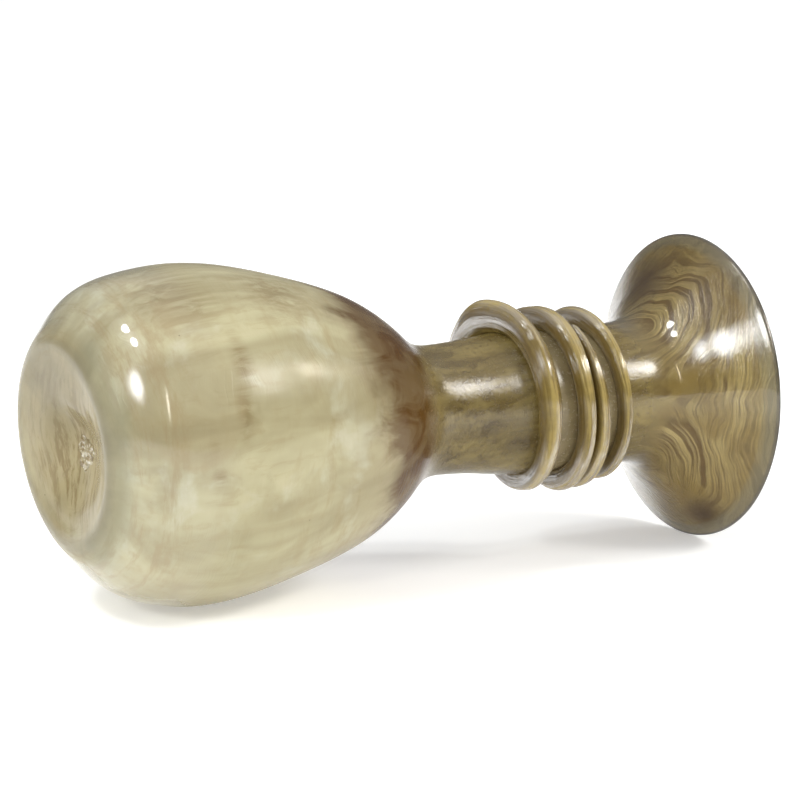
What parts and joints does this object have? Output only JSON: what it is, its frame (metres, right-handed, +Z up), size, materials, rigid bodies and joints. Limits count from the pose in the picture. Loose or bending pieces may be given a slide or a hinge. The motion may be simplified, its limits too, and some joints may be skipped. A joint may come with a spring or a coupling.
{
  "type": "blown glass flask",
  "caption": "Hand-blown glass flask lying on its side: pear-shaped body with an indented base, slim neck wound with glass trails, and a wide funnel mouth.",
  "frame": {"origin": "middle of the flask's box, on the surface it lies on", "axes": "+X along the flask towards its mouth, +Z up; the flask's own axis sinks 0.9 degrees towards the mouth because the lip is narrower than the body"},
  "size_m": [0.1406, 0.0642, 0.0639],
  "materials": {
    "vessel_glass": "hand-blown olive-tinted glass with a weathered, milky beige film",
    "trail_glass": "clear golden-olive glass thread, fire polished",
    "pontil_glass": "rough broken glass"
  },
  "bodies": {
    "root": {"blown_vessel": "vessel_glass", "lower_trail": "trail_glass", "upper_trail": "trail_glass", "pontil_mark": "pontil_glass"}
  },
  "joints": []
}
